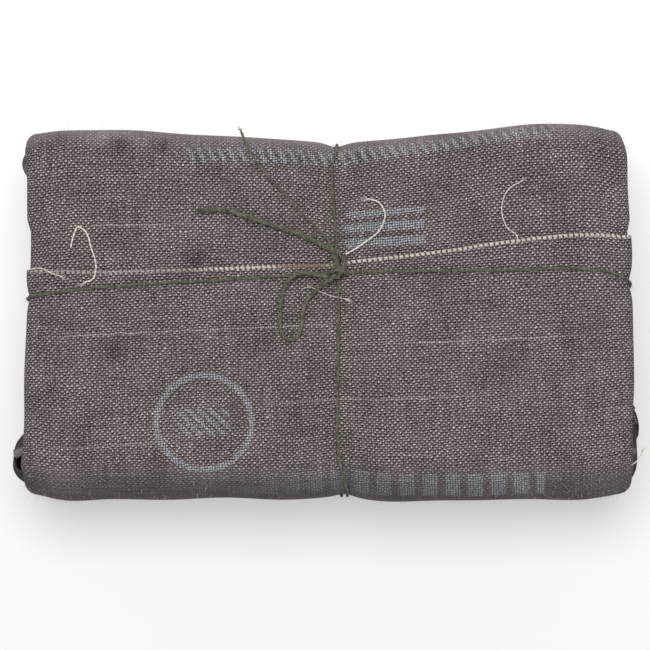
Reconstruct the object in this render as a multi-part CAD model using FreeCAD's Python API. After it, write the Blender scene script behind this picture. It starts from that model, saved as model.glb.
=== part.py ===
import FreeCAD, Part
import math
import os

# Cloth-wrapped compress packet, tied crosswise with thin twine. Millimetres, +X along the packet,
# +Y across it, +Z up, origin at the middle of the face that it rests on.

# ---- driving dimensions -------------------------------------------------------------------------
packet_length = 100.0
packet_width = 61.0
packet_height = 26.0
long_edge_radius = 6.0
end_edge_radius = 2.0

cloth_thickness = 0.5
paper_thickness = 0.2
layer_gap = 0.1
flap_inner_edge_y = -2.0
end_fold_drop = 18.0

twine_diameter = 0.65
bow_loop_diameter = 0.75
thick_tail_diameter = 1.0
twine_clearance = 0.08
twine_corner_radius = 2.0
twine_split_gap = 0.1
end_split_drop = 5.0
side_split_drop = 9.0
channel_side_clearance = 0.15

pad_clearance = 0.1
cotton_layer_thickness = 3.0
bandage_web_thickness = 0.6
bandage_web_length = 44.0
bandage_roll_end_space = 1.4
bandage_roll_height = 9.8
roll_space = 5.0
sliding_compress_thickness = 3.2

pin_length = 40.0
pin_wire_diameter = 1.0
pin_bend_radius = 3.0
pin_cap_length = 7.0
pin_cap_width = 2.6
pin_lift = 1.8

knot_length = 5.4
knot_width = 2.4
knot_height = 1.9
knot_edge_radius = 0.8

# Places on the top face that the twine and the outer flap's free edge run through, in X and Y.
free_edge_ends_y = (6.6, 12.1)
free_edge_run = [(-28.0, 6.6), (0.0, 8.2), (29.0, 10.8)]
knot_place = (1.7, 7.3)
left_run = [(-34.3, 4.1), (-15.5, 5.1)]
left_end_y = 2.2
right_run = [(28.0, 6.75), (45.3, 6.6)]
right_end_y = 4.4
front_run = [(1.6, -16.5)]
front_end_x = 3.1
back_run = [(0.95, 18.6)]
back_end_x = 1.5
long_bottom_y = 3.4
short_bottom_x = 2.3

# ---- sizes that follow from them ----------------------------------------------------------------
half_length = packet_length / 2
half_width = packet_width / 2
layer_step = cloth_thickness + layer_gap
under_top = packet_height - layer_step
paper_top = under_top - layer_step
crease_y = half_width - long_edge_radius
twine_radius = twine_diameter / 2
twine_reach = twine_clearance + twine_radius
twine_on_outer = packet_height + twine_reach
twine_on_inner = under_top + twine_reach
long_bottom_z = 0.05 + twine_radius
short_bottom_z = long_bottom_z + twine_diameter + 0.05
long_channel_depth = long_bottom_z + twine_radius + 0.05
short_channel_depth = short_bottom_z + twine_radius + 0.05
far = 2 * packet_length
overhang = half_length + 1.0
end_split_height = packet_height - end_split_drop
side_split_height = packet_height - side_split_drop

os.makedirs("parts", exist_ok=True)


def block(x0, x1, y0, y1, z0, z1):
    """A plain box between two corners."""
    corner = FreeCAD.Vector(x0, y0, z0)
    return Part.makeBox(x1 - x0, y1 - y0, z1 - z0, corner)


def pillow(x_half, y_half, z_low, z_high, long_radius, end_radius):
    """A brick whose long edges, and then both end outlines, are rounded."""
    brick = block(-x_half, x_half, -y_half, y_half, z_low, z_high)
    along_x = [e for e in brick.Edges if abs(e.tangentAt(e.FirstParameter).x) > 0.9]
    brick = brick.makeFillet(long_radius, along_x)
    outline = []
    for edge in brick.Edges:
        box = edge.BoundBox
        if box.XLength < 1e-6 and abs(abs(box.XMin) - x_half) < 1e-6:
            outline.append(edge)
    return brick.makeFillet(end_radius, outline)


def inset_pillow(end_inset, side_inset, z_low, z_high, thickness=0.0):
    """The packet's outline, moved in from its ends and sides, and then by a thickness all round."""
    return pillow(
        half_length - end_inset - thickness,
        half_width - side_inset - thickness,
        z_low + thickness,
        z_high - thickness,
        long_edge_radius - side_inset - thickness,
        end_edge_radius - thickness,
    )


def prism(points, z_low, z_high):
    """A closed XY outline carried up from z_low to z_high."""
    corners = [FreeCAD.Vector(x, y, z_low) for x, y in points]
    face = Part.Face(Part.makePolygon(corners + corners[:1]))
    return face.extrude(FreeCAD.Vector(0, 0, z_high - z_low))


def along_x(points):
    """A closed YZ outline carried along the whole length."""
    corners = [FreeCAD.Vector(-far, y, z) for y, z in points]
    face = Part.Face(Part.makePolygon(corners + corners[:1]))
    return face.extrude(FreeCAD.Vector(2 * far, 0, 0))


def tie_channels(offset):
    """The two crossing channels under the packet that the twine lies in, grown by an offset."""
    half = twine_radius + channel_side_clearance + offset
    along = block(-far, far, long_bottom_y - half, long_bottom_y + half, -1, long_channel_depth + offset)
    across = block(short_bottom_x - half, short_bottom_x + half, -far, far, -1, short_channel_depth + offset)
    return along.fuse(across)


def rounded_route(points, radii):
    """Straight runs through the points, joined by tangent arcs. A radius of None takes 0.45 of the
    shorter run, divided by the tangent of half the turn. Returns the wire and the radii."""
    route = [FreeCAD.Vector(*p) for p in points]
    edges, used = [], []
    start = route[0]
    for i in range(1, len(route) - 1):
        back = route[i - 1] - route[i]
        ahead = route[i + 1] - route[i]
        run = min(back.Length, ahead.Length)
        half_turn = (math.pi - back.getAngle(ahead)) / 2
        radius = radii.get(i) or 0.45 * run / math.tan(half_turn)
        reach = radius * math.tan(half_turn)
        back.normalize()
        ahead.normalize()
        first = route[i] + back * reach
        last = route[i] + ahead * reach
        inward = back + ahead
        inward.normalize()
        middle = route[i] + inward * (radius / math.cos(half_turn) - radius)
        edges.append(Part.LineSegment(start, first).toShape())
        edges.append(Part.Arc(first, middle, last).toShape())
        used.append(radius)
        start = last
    edges.append(Part.LineSegment(start, route[-1]).toShape())
    return Part.Wire(edges), used


def twine(name, points, diameter, radii=None):
    """A round tube along a rounded route; prints its radii and how well its volume fits."""
    wire, used = rounded_route(points, radii or {})
    first = wire.Edges[0]
    direction = first.tangentAt(first.FirstParameter)
    ring = Part.makeCircle(diameter / 2, FreeCAD.Vector(*points[0]), direction)
    tube = wire.makePipeShell([Part.Wire(ring)], True, False)
    expected = math.pi * diameter**2 / 4 * wire.Length
    shown = " ".join(f"{r:.1f}" for r in used)
    print(f"{name}: length {wire.Length:.1f}, volume ratio {tube.Volume / expected:.4f}, radii {shown}")
    return tube


def save(name, shape):
    """Writes one sub-part as a STEP file and prints what it holds."""
    shape = shape.removeSplitter()
    solids = shape.Solids
    print(f"{name}: {len(solids)} solid, volume {shape.Volume:.2f}, valid {shape.isValid()}")
    (solids[0] if len(solids) == 1 else shape).exportStep(f"parts/{name}.step")


# ---- wrapper: one cut of cloth, as a tray with the two long flaps that open from it --------------
def half_sleeve(z_high, side):
    """The tray's front or back half: one side, its half of the floor and of both ends."""
    outer = inset_pillow(2 * layer_step, 0, 0, z_high)
    inner = inset_pillow(2 * layer_step, 0, 0, z_high, cloth_thickness)
    outer = outer.cut(tie_channels(0))
    inner = inner.cut(tie_channels(cloth_thickness))
    keep = block(-far, far, -far, 0, -far, far) if side < 0 else block(-far, far, 0, far, -far, far)
    return outer.cut(inner).common(keep)


def wrapper_base():
    """Floor, sides and ends, open at the top between the two creases."""
    tray = half_sleeve(packet_height, -1).fuse(half_sleeve(under_top, 1))
    return tray.cut(block(-far, far, -crease_y, crease_y, paper_top - end_edge_radius, far))


def flap(end_inset, z_high, outline, mitre):
    """One long flap with the folds that hang from it over both ends."""
    outer = inset_pillow(end_inset, 0, 0, z_high)
    inner = inset_pillow(end_inset, 0, 0, z_high, cloth_thickness)
    drop_end = packet_height - end_fold_drop
    region = prism(outline, drop_end, far)
    return outer.cut(inner).common(region).cut(along_x(mitre))


def over_flap():
    """The outer flap, from the front crease to its slanting free edge."""
    start = -crease_y + layer_gap
    outline = [(-overhang, start), (overhang, start), (overhang, free_edge_ends_y[1])]
    outline += free_edge_run[::-1] + [(-overhang, free_edge_ends_y[0])]
    low = packet_height - end_fold_drop
    high = packet_height - end_edge_radius
    mitre = [(-crease_y, high), (-crease_y, low - 1), (-crease_y + high - low + 1, low - 1)]
    return flap(0, packet_height, outline, mitre)


def under_flap():
    """The flap below it, from the back crease to a free edge that the outer flap hides."""
    end = crease_y - layer_gap
    outline = [(-overhang, flap_inner_edge_y), (overhang, flap_inner_edge_y)]
    outline += [(overhang, end), (-overhang, end)]
    low = packet_height - end_fold_drop
    high = under_top - end_edge_radius
    mitre = [(crease_y, high), (crease_y, low - 1), (crease_y - high + low - 1, low - 1)]
    return flap(layer_step, under_top, outline, mitre)


# ---- contents ------------------------------------------------------------------------------------
paper_end = 2 * layer_step + cloth_thickness + pad_clearance
paper_side = cloth_thickness + pad_clearance


def paper_pillow(thickness):
    """The inner paper's outline, moved in by a thickness."""
    return inset_pillow(paper_end, paper_side, paper_side, paper_top - pad_clearance, thickness)


def inner_paper_wrap():
    """A closed paper wrap that lies against the cloth, dented where the twine's channels are."""
    outer = paper_pillow(0).cut(tie_channels(paper_side))
    inner = paper_pillow(paper_thickness).cut(tie_channels(paper_side + paper_thickness))
    return outer.cut(inner)


pad_inset = paper_thickness + pad_clearance
pad_room = paper_pillow(pad_inset).cut(tie_channels(paper_side + pad_inset))
pad_bottom = paper_side + pad_inset
pad_top = paper_top - pad_clearance - pad_inset
sliding_bottom = pad_top - sliding_compress_thickness
roll_bottom = sliding_bottom - pad_clearance - bandage_roll_height
web_bottom = roll_bottom - pad_clearance - bandage_web_thickness
cotton_bottom = web_bottom - pad_clearance - cotton_layer_thickness
fixed_top = cotton_bottom - pad_clearance


def layer(z_low, z_high, x_half=far):
    """What the room for the pads holds between two heights."""
    return pad_room.common(block(-x_half, x_half, -far, far, z_low, z_high))


def bandage_roll(side):
    """A flat oval roll of bandage, its axis across the packet."""
    x_near = roll_space / 2
    x_far = half_length - paper_end - pad_inset - bandage_roll_end_space
    x0, x1 = (x_near, x_far) if side > 0 else (-x_far, -x_near)
    y_half = half_width - paper_side - pad_inset
    body = block(x0, x1, -y_half, y_half, roll_bottom, roll_bottom + bandage_roll_height)
    across = [e for e in body.Edges if abs(e.tangentAt(e.FirstParameter).y) > 0.9]
    return body.makeFillet(0.49 * bandage_roll_height, across).common(pad_room)


pin_low_z = roll_bottom + pin_lift
pin_high_z = pin_low_z + 2 * pin_bend_radius
pin_bend_y = pin_length / 2 - pin_bend_radius
pin_cap_end = -pin_length / 2


def safety_pin_wire():
    """Sprung wire bent back on itself, both ends held in the cap."""
    tip_y = pin_cap_end + pin_cap_length / 2
    low_start = FreeCAD.Vector(0, tip_y, pin_low_z)
    low_end = FreeCAD.Vector(0, pin_bend_y, pin_low_z)
    bend = FreeCAD.Vector(0, pin_bend_y + pin_bend_radius, pin_low_z + pin_bend_radius)
    high_start = FreeCAD.Vector(0, pin_bend_y, pin_high_z)
    high_end = FreeCAD.Vector(0, tip_y, pin_high_z)
    lower = Part.LineSegment(low_start, low_end).toShape()
    turn = Part.Arc(low_end, bend, high_start).toShape()
    upper = Part.LineSegment(high_start, high_end).toShape()
    wire = Part.Wire([lower, turn, upper])
    ring = Part.makeCircle(pin_wire_diameter / 2, low_start, FreeCAD.Vector(0, 1, 0))
    return wire.makePipeShell([Part.Wire(ring)], True, False)


def safety_pin_cap():
    """The pressed cap that guards the point."""
    margin = pin_wire_diameter
    cap = block(
        -pin_cap_width / 2,
        pin_cap_width / 2,
        pin_cap_end,
        pin_cap_end + pin_cap_length,
        pin_low_z - margin,
        pin_high_z + margin,
    )
    cap = cap.makeFillet(0.3 * pin_cap_width, cap.Edges)
    return cap.cut(safety_pin_wire())


# ---- twine: one length, as four top runs, the knot, two lower stretches, a loop and two tails ----
end_x = half_length + twine_reach
side_y = half_width + twine_reach
end_corner = end_edge_radius + twine_reach
side_corner = long_edge_radius + twine_reach
knot_x, knot_y = knot_place
knot_bottom = packet_height + twine_clearance
knot_middle = twine_on_outer + 0.2


def twine_knot():
    """The drawn-up knot, as one rounded lump."""
    lump = block(
        knot_x - knot_width / 2,
        knot_x + knot_width / 2,
        knot_y - knot_length / 2,
        knot_y + knot_length / 2,
        knot_bottom,
        knot_bottom + knot_height,
    )
    return lump.makeFillet(knot_edge_radius, lump.Edges)


def end_arm(name, side, run, end_y):
    """A top run along the packet, round the end edge and a little way down."""
    x = side * end_x
    outward = run[::-1] if side < 0 else run
    points = [(knot_x, knot_y - 1.0, twine_on_outer)]
    points += [(px, py, twine_on_outer) for px, py in outward]
    points += [(x, end_y, twine_on_outer), (x, end_y, end_split_height)]
    return twine(name, points, twine_diameter, {len(points) - 2: end_corner}).cut(twine_knot())


def front_arm():
    """The short loop's run to the front edge and down it."""
    points = [(knot_x, knot_y - 1.5, twine_on_outer)]
    points += [(x, y, twine_on_outer) for x, y in front_run]
    points += [(front_end_x, -side_y, twine_on_outer), (front_end_x, -side_y, side_split_height)]
    tube = twine("twine_top_front", points, twine_diameter, {len(points) - 2: side_corner})
    return tube.cut(twine_knot())


def back_arm():
    """The short loop's run to the back edge, on the under flap, climbing to the knot."""
    points = [(knot_x, knot_y + 1.5, knot_middle), (1.55, 12.0, twine_on_inner)]
    points += [(x, y, twine_on_inner) for x, y in back_run]
    points += [(back_end_x, side_y, twine_on_inner), (back_end_x, side_y, side_split_height)]
    tube = twine("twine_top_back", points, twine_diameter, {len(points) - 2: side_corner})
    return tube.cut(twine_knot())


def long_under():
    """The long loop's lower stretch: down one end, under the packet and up the other."""
    top = end_split_height - twine_split_gap
    points = [
        (-end_x, left_end_y, top),
        (-end_x, long_bottom_y, long_bottom_z),
        (end_x, long_bottom_y, long_bottom_z),
        (end_x, right_end_y, top),
    ]
    corners = {1: twine_corner_radius, 2: twine_corner_radius}
    return twine("twine_under_long", points, twine_diameter, corners)


def short_under():
    """The short loop's lower stretch, which crosses over the long one under the packet."""
    top = side_split_height - twine_split_gap
    points = [
        (back_end_x, side_y, top),
        (short_bottom_x, side_y, short_bottom_z),
        (short_bottom_x, -side_y, short_bottom_z),
        (front_end_x, -side_y, top),
    ]
    corners = {1: twine_corner_radius, 2: twine_corner_radius}
    return twine("twine_under_short", points, twine_diameter, corners)


# Each loose route is given in X and Y, and in height above the flap that it lies on.
# The half bow's loop leaves the knot over the left run, turns on the outer flap and comes back.
bow_loop_route = [
    (0.1, 5.45, 1.35),
    (-1.4, 5.55, 1.4),
    (-2.9, 6.0, 1.35),
    (-4.5, 6.1, 1.35),
    (-6.1, 5.2, 1.3),
    (-7.2, 3.6, 0.85),
    (-7.65, 1.2, 0.55),
    (-7.8, -1.4, 0.52),
    (-7.65, -3.6, 0.52),
    (-6.4, -5.0, 0.52),
    (-4.8, -4.4, 0.52),
    (-4.2, -2.4, 0.52),
    (-4.1, -0.1, 0.55),
    (-3.3, 1.9, 0.6),
    (-1.9, 3.3, 0.8),
    (-0.4, 4.4, 1.1),
]
# The long tail lies across the under flap and hangs over the back edge.
long_tail_route = [
    (0.15, 11.4, 0.45),
    (-2.0, 13.8, 0.45),
    (-4.7, 16.3, 0.44),
    (-7.3, 19.1, 0.44),
    (-9.7, 21.9, 0.44),
    (-11.9, 24.6, 0.46),
    (-13.3, 27.2, 0.1),
    (-14.2, 29.6, -1.3),
]
# The short tail is slack and thicker, and lies on the under flap.
short_tail_route = [
    (-0.5, 10.3, 0.62),
    (-2.9, 11.75, 0.62),
    (-5.6, 12.75, 0.62),
    (-8.55, 13.7, 0.62),
    (-11.5, 14.8, 0.62),
    (-14.1, 15.6, 0.62),
    (-16.3, 16.4, 0.62),
    (-18.5, 16.5, 0.62),
    (-20.6, 16.2, 0.62),
]


def loose(name, route, level, diameter):
    """A loose piece of twine, its route raised to the flap that it lies on."""
    return twine(name, [(x, y, level + h) for x, y, h in route], diameter)



parts = {
    "wrapper_base": wrapper_base(),
    "wrapper_over_flap": over_flap(),
    "wrapper_under_flap": under_flap(),
    "inner_paper_wrap": inner_paper_wrap(),
    "fixed_compress": layer(pad_bottom, fixed_top),
    "cotton_wool_layer": layer(cotton_bottom, cotton_bottom + cotton_layer_thickness),
    "bandage_web": layer(web_bottom, web_bottom + bandage_web_thickness, bandage_web_length / 2),
    "bandage_roll_left": bandage_roll(-1),
    "bandage_roll_right": bandage_roll(1),
    "sliding_compress": layer(sliding_bottom, pad_top),
    "safety_pin_wire": safety_pin_wire(),
    "safety_pin_cap": safety_pin_cap(),
    "twine_under_long": long_under(),
    "twine_under_short": short_under(),
    "twine_top_left": end_arm("twine_top_left", -1, left_run, left_end_y),
    "twine_top_right": end_arm("twine_top_right", 1, right_run, right_end_y),
    "twine_top_front": front_arm(),
    "twine_top_back": back_arm(),
    "twine_knot": twine_knot(),
    "bow_loop": loose("bow_loop", bow_loop_route, packet_height, bow_loop_diameter),
    "long_tail": loose("long_tail", long_tail_route, under_top, twine_diameter),
    "short_tail": loose("short_tail", short_tail_route, under_top, thick_tail_diameter),
}
for name, shape in parts.items():
    save(name, shape)
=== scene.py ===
import bmesh
import bpy
import numpy as np
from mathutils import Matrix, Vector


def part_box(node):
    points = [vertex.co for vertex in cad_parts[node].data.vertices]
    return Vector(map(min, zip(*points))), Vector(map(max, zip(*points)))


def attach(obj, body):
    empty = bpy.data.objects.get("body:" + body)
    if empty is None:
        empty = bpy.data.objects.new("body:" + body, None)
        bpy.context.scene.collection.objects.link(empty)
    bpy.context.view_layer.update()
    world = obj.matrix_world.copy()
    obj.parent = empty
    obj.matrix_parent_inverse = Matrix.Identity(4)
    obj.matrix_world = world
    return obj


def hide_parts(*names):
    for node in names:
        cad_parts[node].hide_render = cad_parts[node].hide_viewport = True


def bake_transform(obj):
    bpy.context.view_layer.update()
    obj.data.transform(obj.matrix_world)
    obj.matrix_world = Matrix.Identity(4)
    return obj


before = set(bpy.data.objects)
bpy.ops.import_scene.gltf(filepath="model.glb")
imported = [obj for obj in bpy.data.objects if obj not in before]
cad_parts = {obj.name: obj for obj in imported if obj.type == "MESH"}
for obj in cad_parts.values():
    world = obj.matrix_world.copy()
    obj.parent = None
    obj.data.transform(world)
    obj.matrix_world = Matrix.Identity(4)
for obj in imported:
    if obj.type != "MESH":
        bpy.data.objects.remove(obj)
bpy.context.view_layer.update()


# ---- Fixed compress ------------------------------------------------------------------------------
# The pad that goes on the wound: gauze folded flat and sewn to the bandage. It lies lowest, and the
# twine that runs under the packet leaves its two dents in it.
MM = 0.001
bottom_long_y = 3.4
bottom_short_x = 2.3


def placed(name, data):
    """An object with this data, put in the scene."""
    made = bpy.data.objects.new(name, data)
    bpy.context.scene.collection.objects.link(made)
    return made


def cells(grid):
    """The four corners of every cell of a grid, in order round the cell."""
    return np.stack([grid[:-1, :-1], grid[:-1, 1:], grid[1:, 1:], grid[1:, :-1]], axis=2)


def piece(name, parts, materials):
    """One mesh object from grids of points in millimetres. A part is (points, uv, closed): points is
    rows by columns by 3, uv has the same rows, with one more column where the columns close up, and
    closed says whether the last column joins the first."""
    corners, quads, coords, start = [], [], [], 0
    for points, uv, closed in parts:
        rows, columns = points.shape[:2]
        number = np.arange(rows * columns).reshape(rows, columns) + start
        if closed:
            number = np.concatenate([number, number[:, :1]], axis=1)
        quads.append(cells(number).reshape(-1, 4))
        coords.append(cells(uv).reshape(-1, 2))
        corners.append(points.reshape(-1, 3))
        start += rows * columns
    mesh = bpy.data.meshes.new(name)
    mesh.from_pydata((np.concatenate(corners) * MM).tolist(), [], np.concatenate(quads).tolist())
    layer = mesh.uv_layers.new(name="surface")
    layer.data.foreach_set("uv", np.concatenate(coords).astype(np.float32).ravel())
    shape = bmesh.new()
    shape.from_mesh(mesh)
    bmesh.ops.remove_doubles(shape, verts=shape.verts, dist=0.000001)
    shape.to_mesh(mesh)
    shape.free()
    mesh.shade_smooth()
    for material in materials:
        mesh.materials.append(material)
    return placed(name, mesh)


def thicken(sheet, millimetres):
    """Give a sheet its thickness, inwards from its outer face."""
    layer = sheet.modifiers.new("thickness", "SOLIDIFY")
    layer.thickness = millimetres * MM
    layer.offset = -1
    return layer


def box_mm(node):
    """The two corners of a node's box, in millimetres."""
    return (np.array(corner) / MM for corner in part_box(node))


def plain(points, closed=False):
    """A part whose uv is only row and column numbers, for a pattern that doesn't need one."""
    rows, columns = points.shape[:2]
    uv = np.stack(np.meshgrid(np.arange(columns + int(closed)), np.arange(rows)), axis=-1) * 1.0
    return points, uv, closed


def add_node(tree, kind, inputs=None, **settings):
    """A shader node with its settings made and each input linked or set."""
    made = tree.nodes.new(kind)
    for key, value in settings.items():
        setattr(made, key, value)
    for key, value in (inputs or {}).items():
        if isinstance(value, bpy.types.NodeSocket):
            tree.links.new(value, made.inputs[key])
        else:
            made.inputs[key].default_value = value
    return made


def sums(operation, *values, clamp=False):
    """The result of one Math node on sockets or numbers, in the tree of the first socket."""
    tree = next(value.id_data for value in values if isinstance(value, bpy.types.NodeSocket))
    inputs = dict(enumerate(values))
    return add_node(tree, "ShaderNodeMath", inputs, operation=operation, use_clamp=clamp).outputs[0]


def product(*values):
    """Several sockets or numbers multiplied together."""
    made = values[0]
    for value in values[1:]:
        made = sums("MULTIPLY", made, value)
    return made


def scaled(value, by, plus, clamp=False):
    """A value multiplied by one number or socket and added to another."""
    return sums("MULTIPLY_ADD", value, by, plus, clamp=clamp)


def mixed(share, low, high):
    """A colour between two colours, by a share from 0 to 1."""
    inputs = {0: share, 6: low, 7: high}
    return add_node(share.id_data, "ShaderNodeMix", inputs, data_type="RGBA").outputs[2]


def noise(place, scale, detail=2.0):
    """A noise value at a place."""
    inputs = {"Vector": place, "Scale": scale, "Detail": detail}
    return add_node(place.id_data, "ShaderNodeTexNoise", inputs).outputs["Fac"]


def new_material(name):
    """An empty material with its tree and its surface shader."""
    material = bpy.data.materials.new(name)
    material.use_nodes = True
    return material, material.node_tree, material.node_tree.nodes["Principled BSDF"]


def finish(shader, colour, roughness, height=None, distance=0.0, strength=0.0):
    """Link a surface's colour, set its roughness and raise its bumps by a height."""
    tree = shader.id_data
    tree.links.new(colour, shader.inputs["Base Color"])
    shader.inputs["Roughness"].default_value = roughness
    if height is not None:
        inputs = {"Height": height, "Distance": distance, "Strength": strength}
        bump = add_node(tree, "ShaderNodeBump", inputs)
        tree.links.new(bump.outputs[0], shader.inputs["Normal"])


def surface_place(tree):
    """The piece's own surface coordinates, in millimetres."""
    return add_node(tree, "ShaderNodeUVMap", uv_map="surface").outputs[0]


def object_place(tree):
    """Place in the object's space, in metres."""
    return add_node(tree, "ShaderNodeTexCoord").outputs["Object"]


def open_weave(name, colour, pitch, depth):
    """Loose cotton: a fine square weave on object coordinates, its holes darker than its threads."""
    material, tree, shader = new_material(name)
    place = object_place(tree)
    axes = add_node(tree, "ShaderNodeSeparateXYZ", {0: place})
    waves = [sums("SINE", product(axes.outputs[i], np.pi / pitch)) for i in range(3)]
    heights = [sums("ABSOLUTE", wave) for wave in waves]
    height = product(sums("MAXIMUM", heights[0], heights[2]), heights[1])
    patchy = noise(place, 300.0)
    thread = scaled(height, 0.5, product(patchy, 0.6), clamp=True)
    dark = tuple(0.55 * c for c in colour[:3]) + (1.0,)
    finish(shader, mixed(thread, dark, colour), 0.9, height, depth, 0.7)
    return material


def smooth_curve(at, places, values):
    """A smooth line through given points: cubic between neighbours, its slope at each point the mean slope of
    the points beside it."""
    places, values = np.asarray(places, float), np.asarray(values, float)
    slopes = np.gradient(values, places)
    at = np.clip(at, places[0], places[-1])
    i = np.clip(np.searchsorted(places, at) - 1, 0, len(places) - 2)
    width = places[i + 1] - places[i]
    t = (at - places[i]) / width
    start = values[i] * (1 + 2 * t) * (1 - t) ** 2 + slopes[i] * width * t * (1 - t) ** 2
    return start + values[i + 1] * t**2 * (3 - 2 * t) + slopes[i + 1] * width * t**2 * (t - 1)


def valley(off, width, power=2):
    """1 on a line and 0 away from it, by the distance off it."""
    return np.exp(-((off / width) ** power))


def under_dent(x, y):
    """How far the twine under the packet dents what lies over it: a narrow valley along each of its
    two lower stretches, deepest along the short one, which passes over the long one."""
    along = 0.8 * valley(y - bottom_long_y, 0.75, 4)
    return np.maximum(along, 1.5 * valley(x - bottom_short_x, 0.8, 4))


def drawn_in(points):
    """The contents give way where the tied cloth is drawn in: their width follows the brick's waist."""
    x, y, z = np.moveaxis(points, -1, 0)
    back = smooth_curve(x, [-48, -24, -12, 1.4, 13, 24, 48], [0.97, 0.955, 0.93, 0.885, 0.925, 0.955, 0.97])
    front = smooth_curve(x, [-48, -20, 2.3, 20, 48], [0.97, 0.965, 0.945, 0.965, 0.97])
    narrowed = np.where(y > 0, y * back, y * front)
    shortened = x * (0.952 - 0.022 * np.clip(x / 46, 0, 1) * np.clip(y / 29, 0, 1))
    return np.stack([shortened, narrowed, z], axis=-1)


def pad(name, node, material, layers, squareness, dented=False):
    """A soft brick in the space of its node's box: a superellipse in plan and another one in height, both
    taken by angle, with shallow grooves round it that part its folded layers."""
    low, high = box_mm(node)
    middle, half = (low + high) / 2, (high - low) / 2
    level = np.linspace(-np.pi / 2, np.pi / 2, 57)[:, None]
    turn = np.linspace(0, 2 * np.pi, 169)[None, :-1]
    corner = lambda angle, n: (np.abs(np.cos(angle)) ** n + np.abs(np.sin(angle)) ** n) ** (-1 / n)
    groove = 1 - 0.012 * np.abs(np.sin(layers * level))
    spread = np.cos(level) * corner(level, squareness) * groove
    plan = corner(turn, 14)
    x = middle[0] + half[0] * 0.99 * np.cos(turn) * plan * spread
    y = middle[1] + half[1] * 0.99 * np.sin(turn) * plan * spread
    z = middle[2] + half[2] * np.sin(level) * corner(level, squareness) + 0 * turn
    z = z - 0.15 * np.sin(level) * (1 + np.sin(x / 5.0) * np.sin(y / 4.0))
    if dented:
        z = np.maximum(z, 0.8 + under_dent(x, y))
    points = drawn_in(np.stack([x, y, z], axis=-1))
    made = piece(name, [plain(points, closed=True)], [material])
    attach(made, "packet")
    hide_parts(node)


gauze = open_weave("folded_gauze", (0.80, 0.77, 0.68, 1.0), 0.0007, 0.00012)
pad("gauze_fixed_compress", "fixed_compress", gauze, 7, 8, dented=True)


# ---- Cotton wool and sliding compress ------------------------------------------------------------
# The absorbent layer is loose cotton wool laid on the sewn pad. The second pad is the same folded
# gauze, free to slide along the bandage, and lies on top of the rolls.
wool = open_weave("cotton_wool", (0.88, 0.87, 0.82, 1.0), 0.0019, 0.00025)
pad("cotton_wool_batt", "cotton_wool_layer", wool, 2, 4)
pad("gauze_sliding_compress", "sliding_compress", gauze, 4, 6)


# ---- Bandage -------------------------------------------------------------------------------------
# One strip of open-weave cotton, rolled flat from both ends. The web between the two rolls is what
# the pads are sewn and threaded on.
bandage_cotton = open_weave("bandage_cotton", (0.78, 0.74, 0.64, 1.0), 0.0005, 0.0001)
strip_thickness = 0.22


def oval(turns, reach, height, near=0.6):
    """Points along a flat spiral: a stadium outline that grows from near to its full half height as it
    turns, its straight length fixed by reach."""
    angle = np.linspace(0, 2 * np.pi * turns, 72 * turns)
    radius = near + (height - near) * angle / angle[-1]
    flat = reach - height
    x = radius * np.cos(angle) + flat * np.tanh(6 * np.cos(angle))
    return x, radius * np.sin(angle)


def roll(name, node):
    """The strip's spiral section carried straight across the packet, as a sheet with thickness."""
    low, high = box_mm(node)
    middle, half = (low + high) / 2, (high - low) / 2
    x, z = oval(9, half[0] - 0.3, half[2] - 0.25)
    y = np.linspace(low[1] + 0.4, high[1] - 0.4, 24)
    shape = (24, x.size)
    wave = 0.08 * np.sin(x[None, :] / 3 + 5 * z[None, :])
    x_rows, z_rows = np.broadcast_to(middle[0] + x, shape), np.broadcast_to(middle[2] + z, shape)
    points = drawn_in(np.stack([x_rows, y[:, None] + wave, z_rows], axis=-1))
    made = piece(name, [plain(points[::-1])], [bandage_cotton])
    thicken(made, strip_thickness)
    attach(made, "packet")
    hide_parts(node)


roll("bandage_roll_left_end", "bandage_roll_left")
roll("bandage_roll_right_end", "bandage_roll_right")

web_low, web_high = box_mm("bandage_web")
web_x, web_y = np.meshgrid(np.linspace(web_low[0], web_high[0], 60), np.linspace(web_low[1], web_high[1], 60))
web_z = (web_low[2] + web_high[2]) / 2 + 0.1 + 0.1 * np.sin(web_x / 2.0) * np.cos(web_y / 3.0)
web_points = drawn_in(np.stack([web_x, web_y, web_z], axis=-1))
web = piece("bandage_web_strip", [plain(web_points)], [bandage_cotton])
thicken(web, strip_thickness)
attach(web, "packet")
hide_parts("bandage_web")


# ---- Safety pin ----------------------------------------------------------------------------------
# Drawn steel wire bent back on itself and a cap pressed round both ends. It stands on edge between
# the two rolls. Both keep their solid shapes, and get the bright, slightly brushed steel.
def pin_steel():
    """Bright drawn steel, its shine uneven along the grain."""
    material, tree, shader = new_material("pin_steel")
    grain = noise(object_place(tree), 900.0, 4.0)
    finish(shader, mixed(grain, (0.34, 0.33, 0.31, 1.0), (0.62, 0.61, 0.58, 1.0)), 0.5)
    tree.links.new(scaled(grain, 0.25, 0.2), shader.inputs["Roughness"])
    shader.inputs["Metallic"].default_value = 1.0
    return material


steel = pin_steel()
for pin_node in ("safety_pin_wire", "safety_pin_cap"):
    pin_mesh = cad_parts[pin_node].data
    pin_mesh.materials.clear()
    pin_mesh.materials.append(steel)


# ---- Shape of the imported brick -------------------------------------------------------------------
# What all the wrapping layers follow: the soft brick's outline, pulled in at its waist by the twine.
# The places are in millimetres from the middle of the face it rests on.
front_radius, back_radius, end_radius = 6.2, 4.6, 2.0
crease = 24.5


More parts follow.
